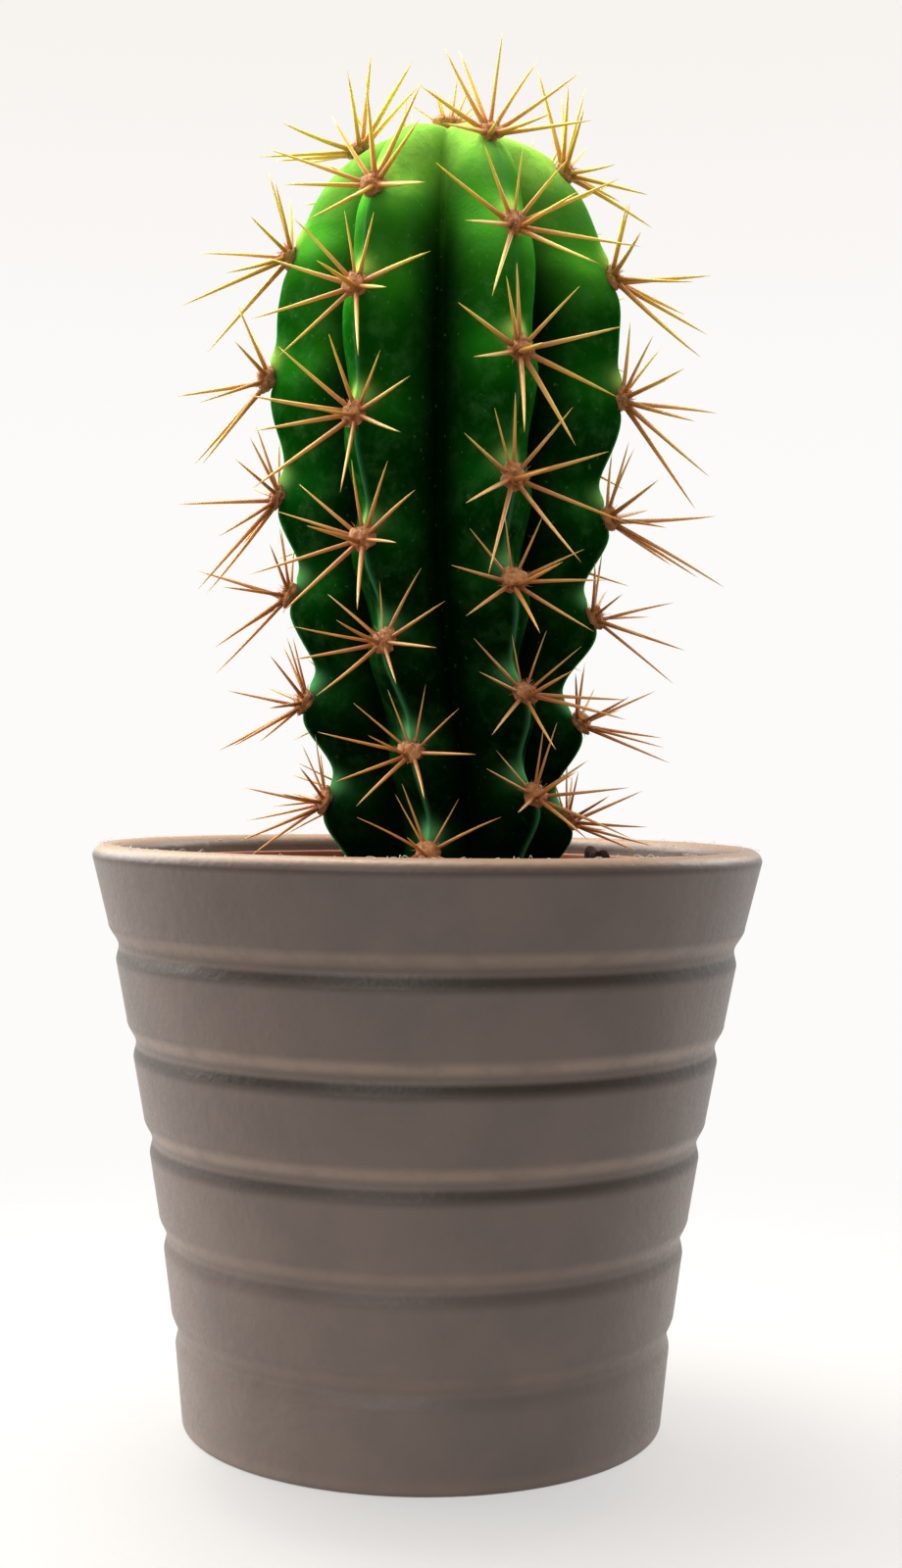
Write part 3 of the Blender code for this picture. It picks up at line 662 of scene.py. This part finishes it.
def stem_skin():
    """The six strips side by side, with a seeded sum of slow waves over the whole skin."""
    buried = np.linspace(FOOT_HEIGHT, GROUND_HEIGHT, 14)[:-1]
    column = np.linspace(GROUND_HEIGHT, WAIST_HEIGHT, 205)[:-1]
    quarter = np.linspace(0.0, math.pi / 2, 130)[:-1]
    dome = WAIST_HEIGHT + (TIP_HEIGHT - WAIST_HEIGHT) * np.sin(quarter) ** 1.25
    z = np.concatenate([buried, column, dome])[:, None]
    strips = [rib_skin(rib, z) for rib in range(len(RIBS))]
    points, line, chin, across, slope = (np.concatenate(parts, axis=1) for parts in zip(*strips))
    draw = np.random.default_rng(5)
    swell = np.zeros(points.shape[:2])
    for _ in range(SKIN_WAVES):
        wave = draw.normal(size=3)
        length = draw.uniform(7.0, 26.0) * MM
        phase = points @ (wave / np.linalg.norm(wave)) * math.tau / length
        swell += WAVE_STEEPNESS * length * np.sin(phase + draw.uniform(0, math.tau))
    swell *= np.minimum(1.0, (TIP_HEIGHT - z) / (20 * MM))
    outward = (points - np.array([STEM_X, 0.0, 0.0])) * np.array([1.0, 1.0, 0.0])
    outward /= np.maximum(np.linalg.norm(outward, axis=-1, keepdims=True), 1e-6)
    masks = {"crest_line": line, "chin": chin, "groove": across, "slope": slope}
    return surface("stem_skin", points + swell[..., None] * outward, attributes=masks)


# Skin colours by height, from the ground to the growing tip: yellow-green young growth at the top,
# and painted shade making the lower stem near black.
SKIN_STOPS = (
    (0.0, (0.001, 0.008, 0.0015)),
    (0.3, (0.001, 0.02, 0.002)),
    (0.55, (0.002, 0.06, 0.003)),
    (0.72, (0.008, 0.13, 0.004)),
    (0.86, (0.08, 0.43, 0.025)),
    (1.0, (0.45, 0.88, 0.13)),
)


def skin_material():
    """Matt, slightly translucent skin, coloured by height.

    It has no gloss, so flanks seen edge-on stay green. Its colour by height carries painted shade, near
    black towards the foot. Painted shade also makes it near black down in the grooves and darker on the
    slopes that face down, and a painted highlight makes it paler on the slopes that face up. It is paler
    on the crest line and on the chins.
    """
    made, shader, nodes = material("cactus_skin", 0.5, Specular_IOR_Level=0.0, Subsurface_Weight=0.3,
                                   Subsurface_Scale=0.004)
    shader.inputs["Subsurface Radius"].default_value = (0.25, 1.0, 0.08)
    where, z = nodes.height()
    drift = nodes.span(nodes.noise(where, 38.0), 0.0, 1.0, -0.016, 0.016)
    place = nodes.add("ShaderNodeMapRange", {"Value": nodes.math("ADD", z, drift), "From Min": GROUND_HEIGHT,
                                             "From Max": TIP_HEIGHT}).outputs["Result"]
    ramp = nodes.add("ShaderNodeValToRGB", {"Fac": place})
    elements = ramp.color_ramp.elements
    for stop, (position, color) in enumerate(SKIN_STOPS):
        element = elements[stop] if stop < 2 else elements.new(position)
        element.position = position
        element.color = (*color, 1.0)
    skin = ramp.outputs["Color"]
    # Painted light and shade: slopes that face up are painted lighter, slopes that face down darker.
    slope = nodes.attribute("slope")
    light = nodes.mix(1.0, skin, (2.2, 1.8, 2.0), "MULTIPLY")
    dark = nodes.mix(1.0, skin, (0.1, 0.3, 0.3), "MULTIPLY")
    lit = nodes.mix(nodes.span(slope, 0.0, 1.0, 0.0, 0.6), skin, light)
    slope_shaded = nodes.mix(nodes.span(slope, -1.0, 0.0, 0.6, 0.0), lit, dark)
    cloud = nodes.span(nodes.noise(where, 230.0, 5.0, 0.65), 0.42, 0.75, 0.0, 0.45)
    clouded = nodes.mix(nodes.math("MULTIPLY", cloud, place), slope_shaded, (0.08, 0.3, 0.07))
    # Painted shade: near black down in the grooves, less so towards the tip.
    far_in = nodes.span(nodes.attribute("groove"), 0.3, 0.95)
    groove_shade = nodes.math("MULTIPLY", far_in, nodes.span(place, 0.72, 1.0, 0.93, 0.35))
    groove_shaded = nodes.mix(groove_shade, clouded, (0.0008, 0.006, 0.001))
    specks = nodes.span(nodes.noise(where, 800.0, 1.0), 0.7, 0.78, 0.0, 0.4)
    speckled = nodes.mix(nodes.math("MULTIPLY", specks, place), groove_shaded, (0.16, 0.42, 0.12))
    line = nodes.math("MULTIPLY", nodes.attribute("crest_line"), 0.62, clamp=True)
    lined = nodes.mix(line, speckled, (0.07, 0.3, 0.13))
    fresh = nodes.mix(nodes.span(place, 0.3, 0.85), (0.11, 0.4, 0.14), (0.55, 0.9, 0.16))
    chins = nodes.mix(nodes.math("MULTIPLY", nodes.attribute("chin"), 1.05, clamp=True), lined, fresh)
    nodes.feed(shader.inputs["Base Color"], chins)
    nodes.feed(shader.inputs["Roughness"], nodes.span(nodes.noise(where, 300.0), 0.3, 0.7, 0.42, 0.6))
    waves = nodes.math("MULTIPLY", nodes.noise(where, 260.0, 2.0), 1.2)
    texture = nodes.math("ADD", nodes.noise(where, 1300.0, 3.0), waves)
    bump(nodes, shader, texture, 0.3, 0.0005)
    return made


stem = stem_skin()
stem.data.materials.append(skin_material())
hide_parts("stem")
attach(stem, "root")

# ---------------------------------------------------------- areoles and spines
# Each areole is a round cushion of orange-brown felt grown into the crest of a rib, with nine or ten
# stiff needle spines spread out of it. Spines are thickest at a slightly swollen foot, brown-orange
# there and golden towards the point, and yellower on young areoles.

SPINE_FOOT_RADIUS = 0.46 * MM
PAD_RADIUS = 2.35 * MM
PAD_HEIGHT = 1.55 * MM
CROWN_RADIUS = 3.6 * MM
CROWN_HEIGHT = 1.9 * MM
PAD_KNOBS = 16
HAIRS_PER_PAD = 70
HAIR_RADII = (0.075 * MM, 0.055 * MM, 0.015 * MM)
SPINE_TAPER = (1.2, 1.0, 0.92, 0.82, 0.7, 0.56, 0.38, 0.05)
PAD_REACH = 5.0 * MM
TIP_REACH = 5.5 * MM


def cluster_facts(node):
    """Centre, outward normal and spine tips of a CAD cluster.

    The pad's points lie within a few millimetres of the median point, and its thinnest direction,
    the last axis of their singular value decomposition, is the normal. The far points are the tips.
    """
    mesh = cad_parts[node].data
    flat = np.empty(3 * len(mesh.vertices), dtype=np.float32)
    mesh.vertices.foreach_get("co", flat)
    points = np.unique(np.round(flat.reshape(-1, 3).astype(float), 6), axis=0)
    near = np.linalg.norm(points - np.median(points, axis=0), axis=1)
    pad = points[near < PAD_REACH]
    center = (pad.min(0) + pad.max(0)) / 2
    normal = np.linalg.svd(pad - pad.mean(0))[2][-1]
    outward = center - np.array([STEM_X, 0.0, min(center[2], WAIST_HEIGHT)])
    return center, normal * np.sign(normal @ outward), points[near > TIP_REACH]


def tubes(name, paths, radii, sides, attribute=None):
    """One mesh of closed tapering tubes, one to a path, rings carried along the paths as whole arrays."""
    tangent = np.gradient(paths, axis=1)
    tangent /= np.linalg.norm(tangent, axis=2, keepdims=True)
    guide = np.where(np.abs(tangent[:, :1, 2:3]) > 0.9, np.array([1.0, 0, 0]), np.array([0, 0, 1.0]))
    first = np.cross(tangent, np.broadcast_to(guide, tangent.shape))
    first /= np.linalg.norm(first, axis=2, keepdims=True)
    second = np.cross(tangent, first)
    angle = np.linspace(0.0, math.tau, sides, endpoint=False)
    around = np.cos(angle)[:, None] * first[:, :, None] + np.sin(angle)[:, None] * second[:, :, None]
    rings = paths[:, :, None] + radii[:, :, None, None] * around
    count, length = paths.shape[:2]
    index = np.arange(count * length * sides).reshape(count, length, sides)
    after = np.roll(index, -1, axis=2)
    quads = np.stack([index[:, :-1], after[:, :-1], after[:, 1:], index[:, 1:]], axis=-1).reshape(-1, 4)
    foot = index[:, 0, ::-1].reshape(-1, sides)
    point = index[:, -1].reshape(-1, sides)
    mesh = bpy.data.meshes.new(name)
    mesh.from_pydata(rings.reshape(-1, 3).tolist(), [], quads.tolist() + foot.tolist() + point.tolist())
    along = np.broadcast_to(np.linspace(0.0, 1.0, length)[None, :, None], index.shape)
    if attribute:
        layer = mesh.attributes.new(attribute, "FLOAT", "POINT")
        layer.data.foreach_set("value", along.ravel().astype(np.float32))
    mesh.shade_smooth()
    piece = bpy.data.objects.new(name, mesh)
    bpy.context.scene.collection.objects.link(piece)
    return piece


def spine_paths(clusters, draw):
    """Bezier curves from each pad to its spine tips, leaving the felt off-centre and bowed very slightly."""
    paths, radii = [], []
    t = np.linspace(0.0, 1.0, 8)[None, :, None]
    for center, normal, tips in clusters:
        reach = tips - center
        length = np.linalg.norm(reach, axis=1, keepdims=True)
        flat = reach - (reach @ normal)[:, None] * normal
        flat /= np.maximum(np.linalg.norm(flat, axis=1, keepdims=True), 1e-6)
        start = center - 0.9 * MM * normal + flat * draw.uniform(0.5, 1.2, (len(tips), 1)) * MM
        bow = draw.normal(size=tips.shape) * 0.012 * length
        middle = (start + tips) / 2 + bow
        near, far = (1 - t) ** 2 * start[:, None], t**2 * tips[:, None]
        paths.append(near + 2 * t * (1 - t) * middle[:, None] + far)
        age = 0.84 + 0.22 * ease((center[2] - 0.12) / 0.1)
        stout = age * draw.uniform(0.85, 1.12, (len(tips), 1)) * np.clip(length / (17 * MM), 0.6, 1.05)
        radii.append(SPINE_FOOT_RADIUS * stout * np.array(SPINE_TAPER))
    return np.concatenate(paths), np.concatenate(radii)


def felt(name, clusters, draw, radius=PAD_RADIUS, height=PAD_HEIGHT):
    """Knobbly cushions with short hairs: spheres flattened along their normals, with seeded waves."""
    lat = np.linspace(-math.pi / 2, math.pi / 2, 22)[1:-1, None]
    lon = np.linspace(0.0, math.tau, 30, endpoint=False)
    unit = np.stack([np.cos(lat) * np.cos(lon), np.cos(lat) * np.sin(lon), np.sin(lat) + 0 * lon], axis=-1)
    pads, paths = [], []
    for center, normal, _ in clusters:
        knobs = np.zeros(unit.shape[:2])
        for _ in range(PAD_KNOBS):
            wave = draw.normal(size=3) * draw.uniform(2.5, 9.0)
            knobs += np.sin(unit @ wave + draw.uniform(0, math.tau)) / np.linalg.norm(wave) ** 0.7
        side = np.cross(normal, [0.3, 0.2, 1.0])
        side /= np.linalg.norm(side)
        frame_axes = np.stack([side, np.cross(normal, side), normal])
        seat = center - 0.75 * MM * normal
        body = unit * (1.0 + 0.17 * knobs)[..., None] * np.array([radius, radius, height])
        pads.append(seat + body @ frame_axes)
        spread = draw.normal(size=(HAIRS_PER_PAD, 3)) * [1, 1, 0.7] + [0, 0, 0.8]
        spread /= np.linalg.norm(spread, axis=1, keepdims=True)
        root = spread * np.array([radius, radius, height]) * 0.9
        stray = draw.normal(size=spread.shape) * 0.45
        tip = root + (spread + stray) * draw.uniform(0.4, 1.1, (HAIRS_PER_PAD, 1)) * MM
        line = root[:, None] + (tip - root)[:, None] * np.linspace(0, 1, 3)[None, :, None]
        paths.append(seat + line @ frame_axes)
    hairs = np.concatenate(paths)
    piece = tubes(name, hairs, np.broadcast_to([HAIR_RADII], hairs.shape[:2]), 3)
    joined = [piece] + [surface(f"{name}_pad_{i}", pad) for i, pad in enumerate(pads)]
    with bpy.context.temp_override(active_object=piece, selected_editable_objects=joined):
        bpy.ops.object.join()
    return piece


def spine_material():
    """Dry needle: orange-brown foot to golden point, yellower up the plant, with a fibrous grain."""
    made, shader, nodes = material("needle_spine", 0.36, Subsurface_Weight=0.3, Subsurface_Scale=0.0012)
    shader.inputs["Subsurface Radius"].default_value = (1.0, 0.6, 0.15)
    where, z = nodes.height()
    along = nodes.attribute("along")
    youth = nodes.span(nodes.math("ADD", z, nodes.math("MULTIPLY", along, 0.03)), 0.17, 0.262)
    foot = nodes.mix(youth, (0.42, 0.15, 0.04), (0.6, 0.27, 0.045))
    shaft = nodes.mix(youth, (0.78, 0.38, 0.1), (0.95, 0.7, 0.08))
    color = nodes.mix(nodes.span(along, 0.02, 0.6), foot, shaft)
    grain = nodes.noise(where, 900.0, 3.0, 0.6)
    fibrous = nodes.mix(nodes.span(grain, 0.45, 0.75, 0.0, 0.3), color, (0.85, 0.5, 0.2))
    nodes.feed(shader.inputs["Base Color"], fibrous)
    bump(nodes, shader, grain, 0.1, 0.0001)
    return made


def felt_material():
    """Matted wool: orange-brown tufts over darker roots, with a soft sheen."""
    made, shader, nodes = material("areole_felt", 0.9, Sheen_Weight=0.3, Sheen_Roughness=0.5)
    color, specks, grain = mottle(nodes, (0.8, 0.36, 0.12), (0.38, 0.14, 0.045), 700.0, 1900.0)
    tufted = nodes.mix(nodes.math("MULTIPLY", specks, 0.6), color, (0.78, 0.48, 0.26))
    nodes.feed(shader.inputs["Base Color"], tufted)
    nodes.feed(shader.inputs["Roughness"], nodes.span(grain, 0.3, 0.7, 0.8, 1.0))
    bump(nodes, shader, grain, 0.8, 0.0006)
    return made


SPINE_MATERIAL = spine_material()
FELT_MATERIAL = felt_material()
groups = {}
for rib in range(1, len(RIBS) + 1):
    groups[f"rib_{rib}"] = sorted(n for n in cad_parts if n.startswith(f"areole_{rib}_"))
groups["tip"] = ["crown"]
for title, names in groups.items():
    draw = np.random.default_rng(sum(map(ord, title)))
    clusters = [cluster_facts(name) for name in names]
    wool_size = (PAD_RADIUS, PAD_HEIGHT) if title != "tip" else (CROWN_RADIUS, CROWN_HEIGHT)
    cushion = felt(f"felt_{title}", clusters, draw, *wool_size)
    cushion.data.materials.append(FELT_MATERIAL)
    paths, radii = spine_paths(clusters, draw)
    needles = tubes(f"spines_{title}", paths, radii, 6, attribute="along")
    needles.data.materials.append(SPINE_MATERIAL)
    for piece in (cushion, needles):
        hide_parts(*names)
        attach(piece, "root")

# ------------------------------------------------------------------------ lint
# Fine pale dust fibres that have settled on the lip of the pot. They lie loose and curled along its
# middle and its inner part.

LINT_FIBRES = 220
LINT_RADIUS = 0.038 * MM
LINT_LENGTH = 1.9 * MM
draw = np.random.default_rng(41)
heading = draw.uniform(0, math.tau, LINT_FIBRES)
reach = LIP_RADIUS - draw.uniform(0.25, 0.9, LINT_FIBRES) * LIP_THICKNESS
across_lip = (reach - LIP_RADIUS + LIP_THICKNESS / 2) / (LIP_THICKNESS / 2)
rest = LIP_HEIGHT - LIP_ROUND + LIP_ROUND * np.sqrt(np.clip(1 - across_lip**2, 0, 1))
root = np.stack([reach * np.cos(heading), reach * np.sin(heading), rest], axis=1)
lie = draw.normal(size=(LINT_FIBRES, 3)) * [1, 1, 0.25]
lie /= np.linalg.norm(lie, axis=1, keepdims=True)
size = draw.uniform(0.35, 1.0, (LINT_FIBRES, 1)) ** 2 * LINT_LENGTH
t = np.linspace(0.0, 1.0, 6)[None, :, None]
curl = draw.normal(size=(LINT_FIBRES, 3)) * [1, 1, 0.0]
paths = root[:, None] + size[:, None] * (t * lie[:, None] + 0.8 * t * (1 - t) * curl[:, None])
lift = np.sin(math.pi * t[..., 0]) * draw.uniform(0.05, 0.5, (LINT_FIBRES, 1)) * size * 0.7
paths[..., 2] = rest[:, None] + 0.05 * MM + lift - 0.12 * MM * (t[..., 0] > 0.9)
lint = tubes("lip_lint", paths, np.full(paths.shape[:2], LINT_RADIUS), 4)
made, shader, nodes = material("dust_fibre", 0.9)
dusty = nodes.mix(nodes.noise(nodes.place(), 300.0), (0.75, 0.7, 0.66), (0.9, 0.88, 0.85))
nodes.feed(shader.inputs["Base Color"], dusty)
lint.data.materials.append(made)
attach(lint, "root")

# ---------------------------------------------------------------------- studio
# A white table top in a white room, lit from above and behind, with the viewer's side left dim. The
# table fades into the room, which looks brighter than the light it gives. The camera stands 40 cm
# away, a little above the lip of the pot, and looks almost level.

FLOOR_RADIUS = 3.0
CAMERA_PLACE = (0.0, -0.4037, 0.12705)
CAMERA_LENS = 47.14
CAMERA_PITCH = 0.0067
CAMERA_YAW = 0.01085
CAMERA_ROLL = 0.0114


def floor_disc():
    """Rings of a flat disc, closer together near the object."""
    angle = np.linspace(0.0, math.tau, 96, endpoint=False)
    radius = np.geomspace(0.02, FLOOR_RADIUS, 24)[::-1, None]
    ring = np.stack([radius * np.cos(angle), radius * np.sin(angle), np.zeros((24, 96))], axis=-1)
    thick = ring[:1] - np.array([0.0, 0.0, 0.01])
    return surface("table_top", np.concatenate([thick * [0.01, 0.01, 1.0], thick, ring]))


floor = floor_disc()
made, shader, nodes = material("white_table", 0.55)
where = nodes.place()
table = nodes.mix(nodes.noise(where, 3.0), (0.62, 0.6, 0.59), (0.6, 0.58, 0.57))
nodes.feed(shader.inputs["Base Color"], table)
distance = nodes.add("ShaderNodeVectorMath", {0: where}, operation="LENGTH").outputs["Value"]
clear = nodes.add("ShaderNodeBsdfTransparent")
fade = nodes.add("ShaderNodeMixShader", {"Fac": nodes.span(distance, 0.02, 0.3, 0.74, 1.0)})
nodes.feed(fade.inputs[1], shader.outputs["BSDF"])
nodes.feed(fade.inputs[2], clear.outputs["BSDF"])
nodes.feed(made.node_tree.nodes["Material Output"].inputs["Surface"], fade.outputs["Shader"])
floor.data.materials.append(made)

world = bpy.data.worlds.new("white_room")
world.use_nodes = True
bpy.context.scene.world = world
sky = Nodes(world.node_tree)
background = world.node_tree.nodes["Background"]
toward = sky.add("ShaderNodeSeparateXYZ", {0: sky.add("ShaderNodeTexCoord").outputs["Generated"]})
behind = sky.span(toward.outputs["Y"], -0.5, 0.7, 0.14, 0.85)
room = sky.math("ADD", behind, sky.span(toward.outputs["Z"], 0.1, 0.9, 0.0, 0.5))
seen = sky.add("ShaderNodeLightPath").outputs["Is Camera Ray"]
unseen = sky.math("MULTIPLY", sky.math("SUBTRACT", 1.0, seen), room)
strength = sky.math("ADD", seen, unseen)
ceiling = sky.span(toward.outputs["Z"], 0.12, 0.42)
sky.feed(background.inputs["Color"], sky.mix(ceiling, (0.973, 0.964, 0.948), (0.925, 0.88, 0.845)))
sky.feed(background.inputs["Strength"], strength)


def softbox(name, place, target, size, power, color):
    """A square area light that faces its target."""
    light = bpy.data.lights.new(name, "AREA")
    light.size, light.energy, light.color = size, power, color
    lamp = bpy.data.objects.new(name, light)
    lamp.location = place
    lamp.rotation_euler = (Vector(target) - Vector(place)).to_track_quat("-Z", "Y").to_euler()
    bpy.context.scene.collection.objects.link(lamp)


softbox("back_left", (-0.6, 0.3, 0.6), (0, 0, 0.17), 0.8, 11.0, (1.0, 0.97, 0.92))
softbox("back_right", (0.6, 0.42, 0.5), (0, 0, 0.15), 0.4, 2.5, (1.0, 0.96, 0.91))
softbox("overhead", (-0.1, 0.08, 0.75), (0, 0, 0.2), 0.35, 4.0, (1.0, 0.98, 0.94))
softbox("front_fill", (-0.3, -0.9, 0.35), (0, 0, 0.12), 0.7, 2.2, (1.0, 0.95, 0.91))

ahead = math.cos(CAMERA_PITCH)
look = Vector((math.sin(CAMERA_YAW) * ahead, math.cos(CAMERA_YAW) * ahead, -math.sin(CAMERA_PITCH)))
level = look.cross(Vector((0, 0, 1))).normalized()
upright = level.cross(look)
right = math.cos(CAMERA_ROLL) * level + math.sin(CAMERA_ROLL) * upright
up = math.cos(CAMERA_ROLL) * upright - math.sin(CAMERA_ROLL) * level
camera = bpy.data.objects.new("camera", bpy.data.cameras.new("camera"))
camera.matrix_world = Matrix.Translation(CAMERA_PLACE) @ Matrix((right, up, -look)).transposed().to_4x4()
camera.data.lens = CAMERA_LENS
camera.data.clip_start = 0.01
bpy.context.scene.collection.objects.link(camera)
bpy.context.scene.camera = camera
bpy.context.scene.view_settings.view_transform = "Standard"
